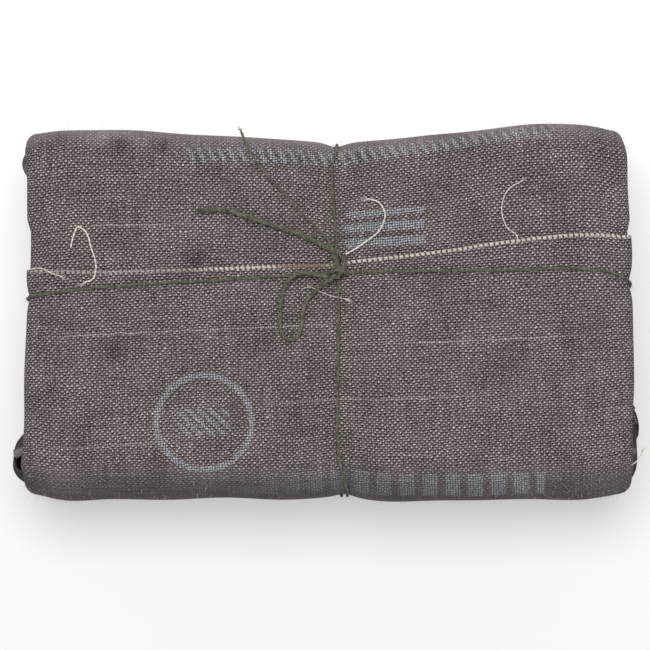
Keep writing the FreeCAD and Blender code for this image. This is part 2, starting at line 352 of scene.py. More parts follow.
def back_reach(x):
    """How far the long back side stands out: least where the short loop is drawn tight."""
    places = [-48, -44, -36, -24, -12, -2, 1.4, 5, 13, 20, 27, 36, 44, 48]
    reach = [29.3, 29.9, 29.9, 29.4, 28.8, 28.0, 27.5, 27.9, 28.7, 29.5, 30.4, 30.9, 30.5, 29.4]
    return smooth_curve(x, places, reach)


def front_reach(x):
    """The same for the front side, which the loop hardly pulls in."""
    places = [-49, -45, -36, -20, -3, 2.8, 8, 20, 34, 44, 49]
    return smooth_curve(x, places, [29.4, 30.3, 30.3, 30.2, 30.2, 29.8, 30.4, 30.6, 30.3, 30.1, 29.3])


def end_reach(y, side):
    """How far the two ends stand out: the left one is drawn in along the twine and full near the
    front, and the right one bulges steadily towards the front."""
    left_y = [-30, -27, -23, -19, -14, -6, 2, 8, 15, 20, 23, 27, 30]
    left = [49.3, 49.7, 49.3, 49.2, 49.4, 49.3, 48.9, 48.9, 49.0, 49.1, 49.2, 49.5, 49.3]
    right_y = [-30, -26, -20, -12, -6, 0, 4.6, 9, 14, 19, 25, 30]
    right = [49.5, 49.7, 49.5, 49.7, 49.8, 49.6, 49.4, 49.6, 49.3, 49.1, 48.8, 48.1]
    return np.where(side < 0, smooth_curve(y, left_y, left), smooth_curve(y, right_y, right))


def long_run_y(x):
    """The twine's line along the top face."""
    places = [-50, -42.9, -34.3, -27.2, -15.5, -5.3, 1.65, 15.7, 29.5, 41.3, 46.2, 50]
    return smooth_curve(x, places, [2.0, 3.15, 4.0, 4.5, 5.1, 5.75, 6.15, 6.45, 6.6, 6.75, 6.2, 4.4])


def short_run_x(y):
    """The twine's line across the top face."""
    places = [-31, -25.5, -22, -8.5, 1.7, 8, 14.7, 22.8, 25.2, 28]
    return smooth_curve(y, places, [3.2, 2.0, 1.65, 1.65, 1.75, 1.7, 1.2, 0.7, 0.75, 1.5])


def brick(u, s, lift, top):
    """A point of a wrapping layer and its outward direction. u runs along the packet and on over the
    end edges, s round it: 0 on the top's centre line, positive to the back, negative to the front.
    The section is a rounded rectangle: flat to the crease, a quarter turn, down the side, a quarter
    turn and back under. Past an end, the layer turns inwards over the end edge. lift raises it."""
    side, a = np.sign(s) + (s == 0), np.abs(s)
    radius = np.where(side > 0, back_radius, front_radius)
    quarter = radius * np.pi / 2
    tall = top - 2 * radius
    side_start, under_start = crease + quarter, crease + quarter + tall
    bottom_start = under_start + quarter
    across = np.where(a < under_start, np.minimum(a, 29), np.clip(29 - (a - bottom_start), -29, 29))
    inner = end_reach(side * across, u) + lift - end_radius
    x = np.clip(u, -inner, inner)
    reach = np.where(side > 0, back_reach(x), front_reach(x))
    theta = (np.clip(a - crease, 0, quarter) + np.clip(a - under_start, 0, quarter)) / radius
    flat = reach - radius
    y = np.where(a < crease, a / crease * flat, flat + radius * np.sin(theta))
    y = y - np.clip(a - bottom_start, 0, None) * flat / crease
    z = top - radius + radius * np.cos(theta) - np.clip(a - side_start, 0, tall)
    out = np.stack([0 * y, side * np.sin(theta), np.cos(theta)], axis=-1)
    past = np.clip((np.abs(u) - inner) / end_radius, 0, None)
    turn = np.clip(past, 0, np.pi / 2)
    drop = end_radius * (1 - np.cos(turn) + past - turn)
    x = x + np.sign(u) * end_radius * np.sin(turn)
    point = np.stack([x, side * y, z], axis=-1) + out * (lift - drop)[..., None]
    facing = out * np.cos(turn)[..., None]
    facing[..., 0] = np.sign(u) * np.sin(turn)
    return point, facing


def settled(point, facing):
    """The layer as it lies: low ripples of the soft contents, pressed in along the twine by a narrow
    valley that is deeper round the edges, and dented underneath."""
    x, y, z = np.moveaxis(point, -1, 0)
    ripple = 0.10 * np.sin(x / 6.1 + 0.7) * np.sin(y / 5.3 + z / 9)
    ripple += 0.07 * np.sin(x / 2.7 + y / 3.9) + 0.05 * np.sin(x / 3.3 - y / 2.1 + z / 4)
    upper, lower = np.clip(facing[..., 2], 0, 1), np.clip(-facing[..., 2], 0, 1)
    round_edge = 1 - upper - lower
    off_long, off_short = y - long_run_y(x), x - short_run_x(y)
    ends, sides = np.abs(facing[..., 0]), np.abs(facing[..., 1])
    press = upper * 0.16 * (valley(off_long, 0.7) + valley(off_short, 0.7))
    press += upper * 0.2 * (valley(off_long, 3) + valley(off_short, 3))
    press += ends * round_edge * 0.4 * valley(off_long, 1.6)
    press += sides * round_edge * 0.4 * valley(off_short, 1.6)
    press += lower * under_dent(x, y)
    return point + facing * (ripple * (1 - lower) - press)[..., None]


# ---- Inner paper ---------------------------------------------------------------------------------
# Waxed brown paper round the dressing, folded like a small parcel, crisp and faintly crinkled. It
# shows once the flaps are open: a lap along the top and pointed folds at the ends.
def waxed_paper():
    """Clouded brown paper with long fibres, its crinkles the edges of irregular cells."""
    material, tree, shader = new_material("waxed_paper")
    place = object_place(tree)
    fibre = noise(place, 700.0, 6.0)
    share = scaled(fibre, 0.35, product(noise(place, 60.0, 3.0), 0.6))
    colour = mixed(share, (0.30, 0.22, 0.13, 1.0), (0.62, 0.50, 0.34, 1.0))
    cells = {"Vector": place, "Scale": 120.0}
    crinkle = add_node(tree, "ShaderNodeTexVoronoi", cells, feature="DISTANCE_TO_EDGE").outputs["Distance"]
    finish(shader, colour, 0.42, scaled(crinkle, 0.6, fibre), 0.0002, 0.5)
    return material


paper = waxed_paper()
paper_thickness = 0.12
paper_low, paper_high = box_mm("inner_paper_wrap")


def paper_face(u, s, lift):
    """The brick's layer, drawn in to the paper's own box."""
    point, facing = brick(u, s, lift, paper_high[2])
    scale = np.array([(paper_high[0] - 1.6) / 50.6, paper_high[1] / 30.9, 1.0])
    point = point * scale
    low = paper_low[2] + 0.05 + under_dent(point[..., 0], point[..., 1]) * (facing[..., 2] < 0)
    point[..., 2] = np.maximum(point[..., 2], low)
    crumple = 0.06 * np.abs(np.sin(point[..., 0] * 0.9 + 2 * np.sin(point[..., 1] * 0.4)))
    return point - facing * (0.15 + crumple * np.clip(facing[..., 2], 0, 1))[..., None]


def paper_sheet(name, s_from, s_to, extra, lift, rows=150):
    """One part of the paper: s between two places, its ends folded over as far as extra says."""
    s = np.linspace(s_from, s_to, rows)[:, None]
    span = 50.0 + extra(s)
    u = np.linspace(-1, 1, 221)[None, :] * span
    points = paper_face(u, s + 0 * u, lift)
    uv = np.stack([u, s + 0 * u], axis=-1)
    made = piece(name, [(points, uv, False)], [paper])
    thicken(made, paper_thickness)
    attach(made, "packet")
    return made


def side_folds(s):
    """Side rows tuck in by a triangle, and top and bottom rows fold over in a trapezium."""
    a = np.abs(s)
    from_edge = np.clip(crease - a, 0, None)
    under = np.clip(a - 57, 0, None)
    middle = np.clip(np.minimum(a - 32, 48 - a), 0, 9)
    return 4.5 + np.minimum(from_edge, 12) + np.minimum(under, 12) + middle


paper_outer = paper_sheet("paper_wrap", -81.0, 78.0, side_folds, 0.0)
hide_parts("inner_paper_wrap")
paper_sheet("paper_lap", -12.0, 7.0, lambda s: 1.0 + 0 * s, paper_thickness, rows=60)


# ---- Wrapper cloth -------------------------------------------------------------------------------
# One piece of plain-woven printed cotton, cut with a selvedge on one edge. It is folded round the
# parcel and tucked in at both ends. The print is faint, and sits only on the tops of the threads.
thread_pitch = 0.413
cloth_thickness = 0.42


def within(value, low, high, soft):
    """1 where value lies between low and high, 0 outside, with soft edges."""
    off = sums("ABSOLUTE", sums("SUBTRACT", value, (low + high) / 2))
    return scaled(off, -1 / soft, (high - low) / 2 / soft + 0.5, clamp=True)


def stretched(place, scale, detail=2.0):
    """A noise value stretched along one axis, for streaks that follow the threads."""
    moved = add_node(place.id_data, "ShaderNodeVectorMath", {0: place, 1: scale}, operation="MULTIPLY")
    return noise(moved.outputs[0], 1.0, detail)


def distance_from(place, middle):
    """How far each place on the cloth is from one of its points."""
    inputs = {0: place, 1: (*middle, 0)}
    return add_node(place.id_data, "ShaderNodeVectorMath", inputs, operation="DISTANCE").outputs["Value"]


def printed_cloth(name, painted_shade_factor):
    """Plain weave on the cloth's own two directions, in millimetres: the product of two sines is
    positive where the lengthwise thread is on top, negative where the crosswise one is, and near zero
    in the gaps between threads."""
    material, tree, shader = new_material(name)
    place = surface_place(tree)
    flat = add_node(tree, "ShaderNodeSeparateXYZ", {0: place})
    u, s = flat.outputs[0], flat.outputs[1]
    drift = place
    for scale, detail, size in ((0.55, 3.0, 0.55), (2.2, 1.0, 0.3)):
        wander = add_node(tree, "ShaderNodeTexNoise", {"Vector": place, "Scale": scale, "Detail": detail})
        inputs = {0: wander.outputs["Color"], 1: (size, size, 0), 2: drift}
        drift = add_node(tree, "ShaderNodeVectorMath", inputs, operation="MULTIPLY_ADD").outputs[0]
    woven = add_node(tree, "ShaderNodeSeparateXYZ", {0: drift})
    turned = scaled(woven.outputs[1], 0.045, woven.outputs[0])
    level = scaled(woven.outputs[0], -0.045, woven.outputs[1])
    wave_u = sums("SINE", product(turned, np.pi / thread_pitch))
    wave_s = sums("SINE", product(level, np.pi / thread_pitch))
    weave = product(wave_u, wave_s)
    # Painted shadow: a dark spot just off each raised thread, as if the thread cast it, laid over the dark
    # gaps between threads.
    shadow_wave_u = sums("SINE", scaled(turned, np.pi / thread_pitch, -0.15))
    shadow_wave_s = sums("SINE", scaled(level, np.pi / thread_pitch, 1.35))
    thread_shadow = scaled(product(shadow_wave_u, shadow_wave_s), 2.8, -0.8, clamp=True)
    ramp = add_node(tree, "ShaderNodeValToRGB", {0: scaled(weave, 0.5, 0.5)})
    tones = ramp.color_ramp.elements
    tones[0].color = (0.088, 0.068, 0.070, 1)
    tones[1].color = (0.325, 0.285, 0.283, 1)
    tones.new(0.34).color = (0.068, 0.052, 0.054, 1)
    tones.new(0.5).color = (0.010, 0.007, 0.007, 1)
    tones.new(0.68).color = (0.125, 0.104, 0.104, 1)
    lengthways = stretched(place, (2.4, 0.10, 0))
    crossways = stretched(place, (0.10, 2.4, 7))
    speckle = noise(place, 2.1, 3.0)
    cloud = noise(place, 0.12, 4.0)
    shade = sums("ADD", product(lengthways, crossways), product(speckle, cloud))
    shade = product(shade, 2.4)
    smudges = ((-21.5, 7.9, 2.2), (-31, 4.6, 2.0), (-34, 26.5, 2.5), (-27, 26.8, 2.2), (-35, -6.4, 3.4))
    stain = 0.0
    for *middle, radius in smudges:
        spot = scaled(distance_from(place, middle), -1 / radius, 1.0, clamp=True)
        stain = sums("ADD", spot, stain, clamp=True)
    # This last factor darkens a whole copy of the cloth: painted shade, 1.0 for the flaps.
    shade = product(shade, scaled(stain, -0.5, 1.0), painted_shade_factor)
    # The painted thread shadows go in here, near black.
    gapped_and_shadowed = mixed(product(thread_shadow, 0.95), ramp.outputs[0], (0.004, 0.003, 0.003, 1))
    # Painted shade: the front side and its rounded edge darker, down to 0.42, as they face away from the
    # lamp.
    front_painted_shade = scaled(within(s, -45, -26.5, 4.5), -0.58, 1.0)
    shade = product(shade, front_painted_shade)
    # Painted light: on both rounded long edges the weave is half mixed with a flat lighter colour, which also
    # evens out its contrast; the front edge is darkened again by the painted shade above.
    rounded = within(sums("ABSOLUTE", sums("SUBTRACT", s, 0.5)), 27.5, 60, 4.5)
    gapped_and_shadowed = mixed(product(rounded, 0.5), gapped_and_shadowed, (0.185, 0.160, 0.160, 1))
    shaded = add_node(tree, "ShaderNodeVectorMath", {0: gapped_and_shadowed, 3: shade}, operation="SCALE").outputs[0]
    slub_rows = ((-1.9, -43, -1), (-20.2, -42, -28), (-14.5, -8, 22), (-5.6, 12, 40), (15.4, -40, -22))
    slub = 0.0
    for row, start, end in slub_rows:
        line = product(within(level, row - 0.15, row + 0.15, 0.25), within(u, start, end, 6.0))
        slub = sums("ADD", line, slub, clamp=True)
    slub = product(slub, crossways, speckle, sums("ABSOLUTE", weave), 1.6)
    shaded = mixed(slub, shaded, (0.52, 0.47, 0.46, 1))

    thread_top = scaled(sums("ABSOLUTE", weave), 1.5, -0.3, clamp=True)
    row = scaled(u, -0.045, sums("SUBTRACT", s, 26.3))
    heading = (row, (-1.3, 1.3), (-23, 37), scaled(row, 0.45, u), 1.65, (0.3, 0.72, 0.15), 1.0)
    fading = scaled(u, 0.015, 0.25, clamp=True)
    heavy = (s, (-31.4, -26.6), (-15.8, 35.2), u, 3.7, (0.14, 0.8, 0.1), fading)
    bars = (s, (9.9, 17.1), (2.8, 15.7), s, 2.6, (0.2, 0.75, 0.12), 1.0)
    badge = (s, (-20.7, -16.3), (-24.2, -15.9), sums("ADD", u, s), 1.9, (0.2, 0.62, 0.2), 1.0)
    marks = within(distance_from(place, (-20.05, -18.5)), 7.26, 8.2, 0.25)
    for across, band, run, course, pitch, dash, strength in (heading, heavy, bars, badge):
        repeat = sums("FRACT", sums("DIVIDE", course, pitch))
        mark = product(within(across, *band, 0.3), within(u, *run, 0.3), within(repeat, *dash), strength)
        marks = sums("ADD", mark, marks, clamp=True)
    worn = scaled(speckle, 1.6, -0.15, clamp=True)
    printed = mixed(product(marks, thread_top, worn), shaded, (0.33, 0.39, 0.42, 1))

    edge = add_node(tree, "ShaderNodeAttribute", attribute_name="selvedge").outputs["Fac"]
    lean = scaled(edge, 0.45, scaled(speckle, 0.25, u))
    dots = sums("ABSOLUTE", sums("SINE", product(lean, np.pi / 0.86)))
    dots = scaled(dots, 3.0, -1.1, clamp=True)
    border = scaled(edge, 5.0, -2.6, clamp=True)
    bald = within(u, -8.0, 0.2, 2.0)
    edged = mixed(product(border, bald, 0.8), printed, (0.13, 0.07, 0.06, 1))
    faded = scaled(within(u, -70, -20, 4.0), -0.5, 0.9)
    faded = product(faded, scaled(speckle, 1.2, 0.35, clamp=True))
    cream = product(dots, border, scaled(bald, -0.85, 1.0), faded)
    edged = mixed(cream, edged, (0.44, 0.40, 0.36, 1))

    fibre = noise(place, 9.0, 2.0)
    height = scaled(sums("ABSOLUTE", weave), 0.8, product(fibre, 0.35))
    finish(shader, edged, 0.92, scaled(cream, 0.8, height), 0.00012, 0.8)
    shader.inputs["Specular IOR Level"].default_value = 0.2
    return material


def unprinted_cloth():
    """The cloth's inner side: the same weave, darker and without the print."""
    material, tree, shader = new_material("cloth_inside")
    place = surface_place(tree)
    axes = add_node(tree, "ShaderNodeSeparateXYZ", {0: place})
    waves = [sums("SINE", product(axes.outputs[i], np.pi / thread_pitch)) for i in (0, 1)]
    weave = product(*waves)
    share = scaled(sums("ABSOLUTE", weave), 0.5, noise(place, 0.2, 3.0), clamp=True)
    finish(shader, mixed(share, (0.035, 0.031, 0.032, 1), (0.15, 0.14, 0.14, 1)), 0.95, weave, 0.0001, 0.6)
    return material


cloth = printed_cloth("printed_cloth", 1.0)
# A copy of the cloth at 0.55 for the tray: painted shade on the tucked layers, which lie in the flaps'
# shadow.
tucked_cloth_painted_shade = printed_cloth("tucked_cloth_painted_shade", 0.55)
cloth_inside = unprinted_cloth()


def wrap_sheet(name, s, u, lift, top, shift, main, selvedge=None):
    """One part of the wrapper as a sheet: the settled brick at each (u, s), with the cloth's
    thickness added inwards. shift moves points afterwards, for tucks and bulges."""
    point, facing = brick(u, s, lift, top)
    point = shift(settled(point, facing))
    uv = np.stack([u, s], axis=-1)
    if s[1, 0] < s[0, 0]:
        point, uv = point[::-1], uv[::-1]
    made = piece(name, [(point, uv, False)], [main, cloth_inside])
    if selvedge is not None:
        layer = made.data.attributes.new("selvedge", "FLOAT", "POINT")
        layer.data.foreach_set("value", selvedge.astype(np.float32).ravel())
    thicken(made, cloth_thickness).material_offset = 1
    return made


fold_depth = 15.2


def fold_reach(across):
    """How deep the angled fold of the flaps' ends is, by distance from the middle line."""
    return np.clip(crease + 1 - np.abs(across), 0, fold_depth)


def hanging_edge(y):
    """Height of the lower edge of the flaps' ends, which hang down over the tucked layers."""
    return 24.0 - fold_reach(y)


def tucked_ends(point):
    """The tucked layers lie inside the flaps' hanging ends, and bulge out below their edges: most at
    the two front corners, a little at the back left one."""
    x, y, z = np.moveaxis(point, -1, 0)
    inside = 1.0 * np.clip((np.abs(x) - 45.5) / 2.5, 0, 1)
    left = 3.8 * valley(y + 23.6, 4.8, 4) + 2.8 * valley(y - 24.4, 3.4)
    right = 3.3 * valley(y + 20.0, 8.6, 4)
    free = np.clip((hanging_edge(y) - 0.8 - z) / 2.5, 0, 1) * np.clip((z - 2) / 9, 0, 1)
    push = np.where(x < 0, left, right) * free * np.clip((np.abs(x) - 44) / 3, 0, 1)
    point[..., 0] = x + np.sign(x) * (push - inside)
    return point


# ---- Wrapper tray --------------------------------------------------------------------------------
# The part of the cloth that lies under the parcel and closes its ends: the sides are tucked in
# first, then the lower edge is folded up over them.
under_flap_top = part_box("wrapper_under_flap")[1][2] / MM
tray_top = under_flap_top


def perimeter(radius, top):
    """Distance from the top's middle line round to the bottom's middle line."""
    return 2 * crease + np.pi * radius + top - 2 * radius


front_way, back_way = perimeter(front_radius, tray_top), perimeter(back_radius, tray_top)
tray_t = np.linspace(-(front_way - 29), back_way - 28, 200)[:, None]
tray_s = np.where(tray_t < 0, -(front_way + tray_t), back_way - tray_t)


def tray_tuck(s):
    """How far each row goes in past the end edge: tucked sides far, the lower edge in a trapezium."""
    a = np.abs(s)
    radius = np.where(s > 0, back_radius, front_radius)
    side_start = crease + radius * np.pi / 2
    under_start = side_start + tray_top - 2 * radius
    bottom_start = under_start + radius * np.pi / 2
    round_rows = 0.75 * radius
    side_rows = np.clip(2.2 * np.minimum(a - side_start, under_start - a), 0, 18)
    low_rows = np.clip(1.1 * (a - bottom_start), 0, 17 - round_rows)
    return round_rows + np.maximum(side_rows, low_rows)


def tray_lift(s):
    """The tray lies just inside the flaps' sheets, and flush with them beyond their edges."""
    a = np.abs(s)
    start = np.where(s > 0, back_way, front_way) - 16.4
    return -0.5 + 0.5 * np.clip((a - start) / 0.8, 0, 1) - 0.45 * (a < start - 12)


tray_u = np.linspace(-1, 1, 236)[None, :] * (50 + tray_tuck(tray_s))
tray_rows = tray_s + 0 * tray_u
# The tray uses the darker copy of the cloth: painted shade on the tucked layers.
tray = wrap_sheet(
    "wrapper_tray", tray_rows, tray_u, tray_lift(tray_rows), tray_top, tucked_ends, tucked_cloth_painted_shade
)
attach(tray, "packet")
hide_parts("wrapper_base")


# ---- Under flap ----------------------------------------------------------------------------------
# The cloth comes up the back side and lies on the parcel first. Its ends hang down over the tucked
# sides, cut off at an angle by the fold.
def drop_past_end(s):
    """How far a flap's row goes down over the end: a short turn at the sides, and an angled fold on
    the top face."""
    return 2.8 + fold_reach(s)


def moved_in(point, amount):
    """Points near the two ends moved towards the middle by an amount."""
    x = point[..., 0]
    point[..., 0] = x - np.sign(x) * amount * np.clip((np.abs(x) - 45) / 3, 0, 1)
    return point


def drawn_foot(point):
    """Low down, a flap's sheet draws in at the ends to lie level with the tucked layers."""
    return moved_in(point, np.clip((5 - point[..., 2]) / 5, 0, 1))


def lapped(point):
    """The under flap's ends lie inside the over flap's where the two lap."""
    point = drawn_foot(point)
    covered = np.clip((15 - point[..., 1]) / 2, 0, 1) * np.clip((point[..., 2] - 5) / 2, 0, 1)
    return moved_in(point, 0.55 * covered)


under_s = np.linspace(-1.5, back_way - crease + 8, 150)[:, None]
under_u = np.linspace(-1, 1, 250)[None, :] * (49.2 + drop_past_end(under_s))
under_rows = under_s + 0 * under_u
under_flap = wrap_sheet(
    "wrapper_back_flap", under_rows, under_u, 0.0 * under_rows, under_flap_top, lapped, cloth
)
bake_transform(under_flap)
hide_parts("wrapper_under_flap")


# ---- Over flap -----------------------------------------------------------------------------------
# The rest of the cloth comes up the front side and covers most of the top. Its free edge is the
# selvedge, and runs a little askew across the packet.
def free_edge(u):
    """Where the selvedge lies, by distance along the packet."""
    places = [-58, -49.1, -35.3, -27.9, -19, -10.8, 0, 2.8, 15.7, 29.4, 41.3, 48.9, 60]
    return smooth_curve(u, places, [6.9, 6.6, 6.3, 6.6, 7.0, 7.4, 8.1, 8.5, 9.5, 10.8, 11.8, 12.1, 12.4])


packet_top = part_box("wrapper_over_flap")[1][2] / MM
over_low = crease - perimeter(front_radius, packet_top) - 8
over_t = np.linspace(0, 1, 190)[:, None]
over_first = over_low + over_t * (13.0 - over_low)
over_u = np.linspace(-1, 1, 250)[None, :] * (50 + drop_past_end(over_first))
over_s = over_low + over_t * (free_edge(over_u) - over_low)
over_sheet = wrap_sheet(
    "wrapper_front_flap", over_s, over_u, 0.0 * over_s, packet_top, drawn_foot, cloth,
    selvedge=np.clip(1 - (free_edge(over_u) - over_s) / 1.3, 0, 1),
)
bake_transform(over_sheet)
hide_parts("wrapper_over_flap")


# ---- Twine underneath ----------------------------------------------------------------------------
# One length of thin green-grey packing twine goes round the packet both ways. It is laid up from
# three soft yarns. Its lower stretches lie in the dents they press in the bottom.
def twine_fibres():
    """Green-grey yarn: fine lighter fibres along dark gaps, worn paler in patches."""
    material, tree, shader = new_material("twine_fibre")
    place = surface_place(tree)
    fibres = stretched(place, (9.0, 1.6, 0), 3.0)
    share = scaled(stretched(place, (0.4, 0.35, 5), 2.0), 0.7, -1.27)
    share = scaled(fibres, 2.6, share, clamp=True)
    colour = mixed(share, (0.012, 0.012, 0.008, 1), (0.178, 0.174, 0.128, 1))
    finish(shader, colour, 0.85, fibres, 0.00005, 0.7)
    shader.inputs["Specular IOR Level"].default_value = 0.25
    return material


twine_fibre = twine_fibres()


def unit(vectors):
    """Each vector at length one."""
    return vectors / np.linalg.norm(vectors, axis=-1, keepdims=True)


def distance_along(line):
    """The distance along a line at each of its points."""
    return np.concatenate([[0], np.cumsum(np.linalg.norm(np.diff(line, axis=0), axis=1))])


def even_steps(line, step):
    """The line read again in even steps."""
    along = distance_along(line)
    even = np.linspace(0, along[-1], int(along[-1] / step) + 2)
    return np.stack([np.interp(even, along, line[:, i]) for i in range(3)], axis=-1)


def even_line(points, step=0.15):
    """A smooth line through given points, read again in even steps."""
    points = np.asarray(points, float)
    along = distance_along(points)
    fine = np.linspace(0, along[-1], int(along[-1] / step * 3) + 8)
    return even_steps(np.stack([smooth_curve(fine, along, points[:, i]) for i in range(3)], axis=-1), step)


def directions(line, beside):
    """Along, and two directions across, at each point of a line. beside is roughly the first one."""
    ahead = unit(np.gradient(line, axis=0))
    first = unit(beside - ahead * (ahead @ np.asarray(beside, float))[:, None])
    return ahead, first, np.cross(ahead, first)


def thread(line, beside, radius, sides=8):
    """A round thread along a line: a circle carried along it, closed to a point at both ends."""
    ahead, first, second = directions(line, beside)
    rows = np.arange(len(line))
    thick = radius * np.minimum(np.minimum(rows, rows[::-1]) / 1.5, 1) ** 0.5
    turn = np.linspace(0, 2 * np.pi, sides + 1)[:-1]
    ring = np.cos(turn)[:, None] * first[:, None] + np.sin(turn)[:, None] * second[:, None]
    points = line[:, None] + thick[:, None, None] * ring
    step = np.linalg.norm(line[1] - line[0])
    uv = np.stack(np.meshgrid(np.arange(sides + 1) / sides, rows * step), axis=-1)
    return points, uv, True


def twisted(line, beside, width, lay=2.4, yarns=3, phase=0.0):
    """Twine of a given width: each yarn is a thread whose middle turns in a helix round the line, once
    in every lay."""
    ahead, first, second = directions(line, beside)
    along = distance_along(line)
    made = []
    for number in range(yarns):
        turn = (2 * np.pi * (along / lay + number / yarns) + phase)[:, None]
        middle = line + 0.25 * width * (np.cos(turn) * first + np.sin(turn) * second)
        points, uv, closed = thread(middle, beside, width * (0.24 + 0.02 * np.sin(number + along / 3)))
        made.append((points, uv + [0, 37.0 * number], closed))
    return made


def loose_fibres(line, width, count, reach, seed):
    """Fine fibres that stand out from the twine's surface and curl away."""
    random = np.random.default_rng(seed)
    ahead = unit(np.gradient(line, axis=0))
    made = []
    t = np.linspace(0, 1, 6)[:, None]
    for number in random.integers(2, len(line) - 2, count):
        away = unit(np.cross(ahead[number], random.normal(size=3)))
        away[2] = abs(away[2])
        course = random.choice([-1, 1]) * ahead[number] * 0.8 + away * random.uniform(0.2, 0.7)
        curl = random.normal(size=3) * [0.5, 0.5, 0.15]
        long = reach * random.uniform(0.35, 1.0)
        hair = line[number] + away * width * 0.4 + long * (course * t + curl * t**2)
        made.append(thread(hair, (0.31, 0.2, 0.93), 0.017, sides=3))
    return made


def tight_line(u, s, rise, top):
    """A line drawn tight over the settled brick, raised by rise."""
    point, facing = brick(u, s, 0 * u, top)
    return settled(point, facing) + rise * facing


def back_flat(x):
    """Distance from the middle line to where the back edge starts to round."""
    return back_reach(x) - back_radius


twine_width = 0.52
twine_rise = 0.26


def twine_piece(name, line, beside, body, node, seed, fibres):
    """A tight stretch of the twine, with its fibres, riding on one body."""
    parts = twisted(line, beside, twine_width) + loose_fibres(line, twine_width, fibres, 1.1, seed)
    made = piece(name, parts, [twine_fibre])
    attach(made, body)
    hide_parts(node)
    return made


around_end = 22.1
under_u = np.concatenate([[-46.9 - around_end], np.linspace(-56, 56, 140), [47.5 + around_end]])
under_y = smooth_curve(under_u, [-69, -50, 0, 50, 70], [2.0, 3.0, bottom_long_y, 3.8, 4.4])
under_a = back_way - crease * under_y / back_flat(under_u)
under_long = even_line(tight_line(under_u, under_a, twine_rise, tray_top))
twine_piece("twine_lower_long", under_long, (0, 1, 0), "packet", "twine_under_long", 11, 60)

split_drop_back, split_drop_front = 36.0, 36.8
back_s = np.linspace(split_drop_back, back_way, 80)
back_part = tight_line(0 * back_s + bottom_short_x, back_s, twine_rise, tray_top)
front_s = -np.linspace(front_way, split_drop_front, 80)
front_part = tight_line(0 * front_s + bottom_short_x, front_s, twine_rise, tray_top)
under_short = even_line(np.concatenate([back_part[:-3:3], front_part[3::3]]))
twine_piece("twine_lower_short", under_short, (1, 0, 0), "packet", "twine_under_short", 12, 40)


# ---- Twine on top --------------------------------------------------------------------------------
# The same twine, drawn tight over the flaps. The long run goes from end to end and the short one
# crosses it under the knot. They are divided low on each side, so that the tie can lift off.
def top_long(u):
    """The long run over the top face and down the ends, u along the packet."""
    y = long_run_y(u)
    return even_line(tight_line(u, y / back_flat(u) * crease, twine_rise, packet_top))


left_run = top_long(np.linspace(-53.0, 1.7, 90))
twine_piece("twine_long_left", left_run, (0, 1, 0), "tie", "twine_top_left", 13, 130)
right_run = top_long(np.linspace(1.5, 53.6, 90))
twine_piece("twine_long_right", right_run, (0, 1, 0), "tie", "twine_top_right", 14, 120)

rear_s = np.linspace(9.6, split_drop_back, 50)
rear_run = tight_line(short_run_x(rear_s), rear_s, twine_rise, under_flap_top)
rear_run = even_line(np.concatenate([[(1.75, 6.4, 26.3), (1.7, 7.9, 26.15)], rear_run]))
twine_piece("twine_short_back", rear_run, (1, 0, 0), "tie", "twine_top_back", 15, 70)
fore_s = np.linspace(6.2, -split_drop_front, 80)
fore_run = even_line(tight_line(short_run_x(fore_s), fore_s, twine_rise + 0.1, packet_top))
twine_piece("twine_short_front", fore_run, (1, 0, 0), "tie", "twine_top_front", 16, 110)


# ---- Knot ----------------------------------------------------------------------------------------
# A half bow drawn tight over the crossing: a turn across the long run, and the strands that go
# through it towards the back before they leave as tails and bow.
knot_lines = [
    [(0.1, 10.7, 26.0), (0.55, 9.9, 26.2), (0.95, 9.0, 26.4), (1.25, 7.7, 26.6),
     (1.5, 6.4, 26.8), (1.9, 5.1, 26.2)],
    [(1.35, 10.9, 25.9), (1.45, 9.3, 26.2), (1.6, 7.8, 26.5), (1.85, 6.3, 27.0),
     (1.5, 5.3, 27.2), (0.6, 5.4, 27.3)],
    [(0.8, 5.6, 26.0), (0.95, 6.2, 26.7), (1.6, 6.5, 27.35), (2.3, 6.3, 27.2),
     (2.85, 6.0, 26.6), (2.9, 5.7, 26.0)],
    [(1.1, 7.4, 26.2), (1.0, 6.9, 26.9), (1.7, 6.9, 27.2), (2.5, 6.9, 26.8), (2.7, 6.6, 26.2)],
]
knot_parts = []
for number, places in enumerate(knot_lines):
    knot_line = even_line(places, 0.1)
    knot_parts += twisted(knot_line, (0.3, 0.5, 0.8), 0.6, 2.0, phase=number)
    knot_parts += loose_fibres(knot_line, 0.6, 14, 1.2, 30 + number)
knot = piece("twine_knot_half_bow", knot_parts, [twine_fibre])
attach(knot, "tie")
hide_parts("twine_knot")


# ---- Bow loop ------------------------------------------------------------------------------------
# The slip loop of the half bow: the twine doubled back, lying limp on the cloth left of the knot.
def spline_line(places, step=0.13):
    """The line of a soft spline with these control places, in metres, read back in even steps of
    millimetres."""
    data = bpy.data.curves.new("guide", "CURVE")
    data.dimensions = "3D"
    data.resolution_u = 16
    spline = data.splines.new("NURBS")
    spline.points.add(len(places) - 1)
    spline.points.foreach_set("co", np.c_[np.asarray(places), np.ones(len(places))].ravel())
    spline.order_u = 3
    spline.use_endpoint_u = True
    holder = bpy.data.objects.new("guide", data)
    mesh = bpy.data.meshes.new_from_object(holder)
    line = np.empty(len(mesh.vertices) * 3)
    mesh.vertices.foreach_get("co", line)
    bpy.data.objects.remove(holder)
    return even_steps(line.reshape(-1, 3) / MM, step)


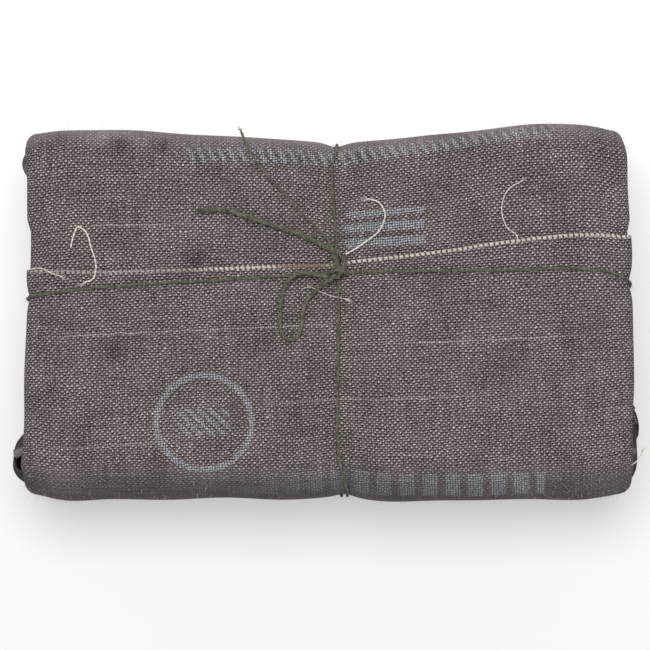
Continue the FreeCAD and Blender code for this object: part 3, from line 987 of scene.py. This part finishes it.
def frayed_end(line, width, count, reach, seed):
    """The yarns open at a cut end: fibres fan out of the last point and droop."""
    random = np.random.default_rng(seed)
    ahead = unit(line[-1] - line[-6])
    t = np.linspace(0, 1, 9)[:, None]
    made = []
    for _ in range(count):
        spread = random.normal(size=3) * [0.22, 0.22, 0.06]
        bend = random.normal(size=3) * [0.3, 0.3, 0.05]
        long = reach * random.uniform(0.4, 1.0)
        start = line[-3] + random.normal(size=3) * width * 0.15
        fibre = start + long * ((ahead + spread) * t + bend * t**2)
        made.append(thread(fibre, (0.2, 0.31, 0.93), 0.04, sides=4))
    return made


bow_places = [
    (0.0001, 0.00545, 0.02735),
    (-0.0014, 0.00555, 0.0274),
    (-0.0029, 0.0060, 0.02735),
    (-0.0045, 0.0061, 0.02735),
    (-0.0061, 0.0052, 0.0273),
    (-0.0072, 0.0036, 0.02685),
    (-0.00765, 0.0012, 0.02655),
    (-0.0078, -0.0014, 0.02652),
    (-0.00765, -0.0036, 0.02652),
    (-0.0064, -0.0050, 0.02652),
    (-0.0048, -0.0044, 0.02652),
    (-0.0042, -0.0024, 0.02652),
    (-0.0041, -0.0001, 0.02655),
    (-0.0033, 0.0019, 0.0266),
    (-0.0019, 0.0033, 0.0268),
    (-0.0004, 0.0044, 0.0271),
    (0.0006, 0.0052, 0.0271),
    (0.0014, 0.0058, 0.0269),
]
bow_line = spline_line(bow_places)
bow = piece(
    "twine_bow_loop",
    twisted(bow_line, (0, 0, 1), 0.72, 2.2) + loose_fibres(bow_line, 0.72, 90, 1.2, 41),
    [twine_fibre],
)
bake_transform(bow)
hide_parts("bow_loop")


# ---- Tails ---------------------------------------------------------------------------------------
# The two free ends of the twine. The long one runs to the back edge and is thin and worn, and the
# short one is thick, its yarns already opening.
def tail(which, places, width, lay, yarns, fuzz, fray, seed):
    """A free end of the twine and its frayed tip. fuzz and fray give how many fibres and how long.
    The tip is attached to the tail's body, and the tail is baked where it lies."""
    line = spline_line(places)
    parts = twisted(line, (0, 0, 1), width, lay, yarns) + loose_fibres(line, width, *fuzz, seed)
    made = piece(f"twine_{which}_tail", parts, [twine_fibre])
    tip = piece(f"twine_{which}_tail_fray", frayed_end(line, width, *fray, seed + 1), [twine_fibre])
    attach(tip, f"tail_{which}")
    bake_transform(made)
    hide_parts(f"{which}_tail")


long_places = [
    (0.0017, 0.0066, 0.0271),
    (0.0012, 0.0092, 0.0265),
    (0.00015, 0.0114, 0.02585),
    (-0.0020, 0.0138, 0.02585),
    (-0.0047, 0.0163, 0.02584),
    (-0.0073, 0.0191, 0.02584),
    (-0.0097, 0.0219, 0.02584),
    (-0.0119, 0.0246, 0.02586),
    (-0.0133, 0.0272, 0.0255),
    (-0.0142, 0.0296, 0.0241),
]
tail("long", long_places, 0.5, 2.6, 2, (60, 1.0), (9, 1.3), 42)

short_places = [
    (0.0019, 0.0058, 0.0271),
    (0.0029, 0.0069, 0.0268),
    (0.0026, 0.0084, 0.0266),
    (0.0016, 0.0096, 0.0266),
    (0.0005, 0.0100, 0.0263),
    (-0.0005, 0.0103, 0.02602),
    (-0.0029, 0.01175, 0.02602),
    (-0.0056, 0.01275, 0.02602),
    (-0.00855, 0.0137, 0.02602),
    (-0.0115, 0.0148, 0.02602),
    (-0.0141, 0.0156, 0.02602),
    (-0.0163, 0.0164, 0.02602),
    (-0.0185, 0.0165, 0.02602),
    (-0.0206, 0.0162, 0.02602),
]
tail("short", short_places, 0.85, 2.3, 3, (130, 1.5), (16, 1.7), 44)


# ---- Pulled threads ------------------------------------------------------------------------------
# Ends of pale yarn pulled from the selvedge, curled on the cloth; a reddish fibre, also in pale yarn.
def pale_yarns():
    """Unbleached yarn with darker lines between its fibres."""
    material, tree, shader = new_material("pale_yarn")
    place = surface_place(tree)
    fibres = stretched(place, (8.0, 1.2, 0), 2.0)
    finish(shader, mixed(fibres, (0.30, 0.25, 0.21, 1), (0.72, 0.68, 0.62, 1)), 0.9)
    return material


pale_yarn = pale_yarns()


def pulled_thread(name, places, width, fibres, seed, level, body="over_flap"):
    """A loose end of yarn through a few places on the face, given by x, y and height above it."""
    places = np.array(places, float) + [0, 0, level]
    line = even_line(places, 0.14)
    parts = twisted(line, (0, 0, 1), width, 1.8, yarns=2) + loose_fibres(line, width, fibres, 0.9, seed)
    parts += frayed_end(line, width, 5, 1.6, seed + 50)
    made = piece(name, parts, [pale_yarn])
    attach(made, body)


pulled_thread(
    "pulled_thread_left",
    [(-41.8, 10.2, -0.4), (-41.3, 12.1, -0.1), (-40.5, 13.6, 0.3), (-39.5, 13.0, 0.4), (-38.4, 10.2, 0.1),
     (-37.6, 6.8, 0.3), (-38.1, 5.1, 0.35), (-39.5, 4.5, 0.3)],
    0.3, 22, 61, 26.0,
)
pulled_thread(
    "pulled_thread_middle",
    [(2.8, 9.1, 0.1), (4.9, 10.3, -0.1), (6.7, 11.6, -0.1), (8.3, 12.9, 0.2), (9.0, 14.2, 0.5),
     (9.3, 15.3, 0.6), (8.9, 16.8, 0.4), (8.3, 17.6, 0.2), (7.4, 18.0, 0.0), (6.5, 18.2, -0.1)],
    0.3, 26, 62, 26.0,
)
pulled_thread(
    "pulled_thread_right",
    [(30.5, 10.9, 0.1), (30.8, 11.8, 0.1), (29.1, 13.6, 0.2), (28.3, 15.7, 0.3), (28.4, 17.7, 0.2),
     (29.4, 19.8, 0.1), (31.3, 21.0, -0.2)],
    0.2, 14, 63, 25.8,
)
pulled_thread(
    "pulled_thread_far_left",
    [(-49, 6.6, 0.2), (-46.3, 6.8, 0.3), (-44.9, 6.1, 0.3), (-43.4, 5.6, 0.2)],
    0.2, 10, 64, 25.9,
)
pulled_thread(
    "pulled_thread_right_end",
    [(48.9, -25.2, -1.0), (49.7, -24.7, -1.6), (50.5, -24.0, -3.0), (51.3, -22.7, -4.2)],
    0.22, 12, 66, 26.0, body="packet",
)
pulled_thread(
    "reddish_fibre",
    [(-4.3, 3.5, 0.3), (-2.9, 3.8, 0.5), (-1.6, 3.2, 0.4), (0.8, 2.3, 0.3), (2.8, 1.9, 0.2)],
    0.12, 6, 65, 25.9,
)


# ---- Cloth fuzz ----------------------------------------------------------------------------------
# Short fibres stand up all over the worn cotton. They show most along the packet's outline.
fuzz_random = np.random.default_rng(7)
t_hair = np.linspace(0, 1, 5)[:, None]


def cloth_fuzz(name, s_from, s_to, top, count):
    """Fine curled fibres on one flap's sheet: more of them round its edges than on its faces."""
    spread = fuzz_random.uniform(-1, 1, count)
    u = np.sign(spread) * np.abs(spread) ** 0.35 * 49.5
    s = fuzz_random.uniform(s_from, s_to, count)
    point, facing = brick(u[:, None], s[:, None], 0 * u[:, None], top)
    root = settled(point, facing)[:, 0]
    out = facing[:, 0]
    hairs = []
    for place, away in zip(root, out):
        course = fuzz_random.normal(size=3) * 0.55 + away * 0.5
        curl = fuzz_random.normal(size=3) * 0.5 + away * 0.15
        long = fuzz_random.uniform(0.25, 0.95)
        hair = place - away * 0.1 + long * (course * t_hair + curl * t_hair**2)
        hairs.append(thread(hair, (0.31, 0.2, 0.93), 0.016, sides=3))
    made = piece(name, hairs, [pale_yarn])
    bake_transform(made)


cloth_fuzz("cloth_fuzz_front", -40.0, 6.0, packet_top, 1300)
cloth_fuzz("cloth_fuzz_back", 13.0, 38.0, under_flap_top, 900)


# ---- Light, floor and camera ---------------------------------------------------------------------
# A pale table with a painted glow, a broad soft light overhead and a little behind, and a bright even room.
floor_mesh = bpy.data.meshes.new("floor")
floor_corners = [(x, y, -0.00005) for x, y in ((-3, -3), (3, -3), (3, 3), (-3, 3))]
floor_mesh.from_pydata(floor_corners, [], [(0, 1, 2, 3)])
floor = placed("floor", floor_mesh)
floor_paper, floor_tree, floor_shader = new_material("pale_floor_painted_glow")
floor_shader.inputs["Base Color"].default_value = (0.37, 0.368, 0.365, 1)
floor_shader.inputs["Roughness"].default_value = 0.9
# The floor glows, weaker in front and stronger at the back (0.3 to 0.5): painted light that lifts the shadows
# round the packet.
floor_shader.inputs["Emission Color"].default_value = (1.0, 0.998, 0.995, 1)
floor_place = object_place(floor_tree)
floor_axes = add_node(floor_tree, "ShaderNodeSeparateXYZ", {0: floor_place})
floor_glow = scaled(floor_axes.outputs[1], 1.4, 0.405)
floor_glow = sums("MINIMUM", sums("MAXIMUM", floor_glow, 0.3), 0.5)
floor_tree.links.new(floor_glow, floor_shader.inputs["Emission Strength"])
floor_mesh.materials.append(floor_paper)

world = bpy.data.worlds.new("bright_room")
bpy.context.scene.world = world
world.use_nodes = True
world.node_tree.nodes["Background"].inputs["Color"].default_value = (1.0, 1.0, 1.0, 1)
world.node_tree.nodes["Background"].inputs["Strength"].default_value = 0.78
key_light = bpy.data.lights.new("overhead_soft_light", "AREA")
key_light.shape = "DISK"
key_light.size = 0.6
key_light.energy = 10.0
key = placed("overhead_soft_light", key_light)
key.location = (-0.05, 0.18, 0.96)
key.rotation_euler = (-0.185, -0.052, 0)

bpy.context.scene.view_settings.view_transform = "Standard"
camera_data = bpy.data.cameras.new("overhead_camera")
camera = placed("overhead_camera", camera_data)
bpy.context.scene.camera = camera
camera_data.sensor_width = 36.0
camera_data.lens = 205.0
tilt = np.radians(3.5)
camera_distance = 0.6
aim_x, aim_y, aim_z = -0.00045, -0.00235, 0.026
camera.location = (aim_x, aim_y - camera_distance * np.sin(tilt), aim_z + camera_distance * np.cos(tilt))
camera.rotation_euler = (tilt, 0, 0)
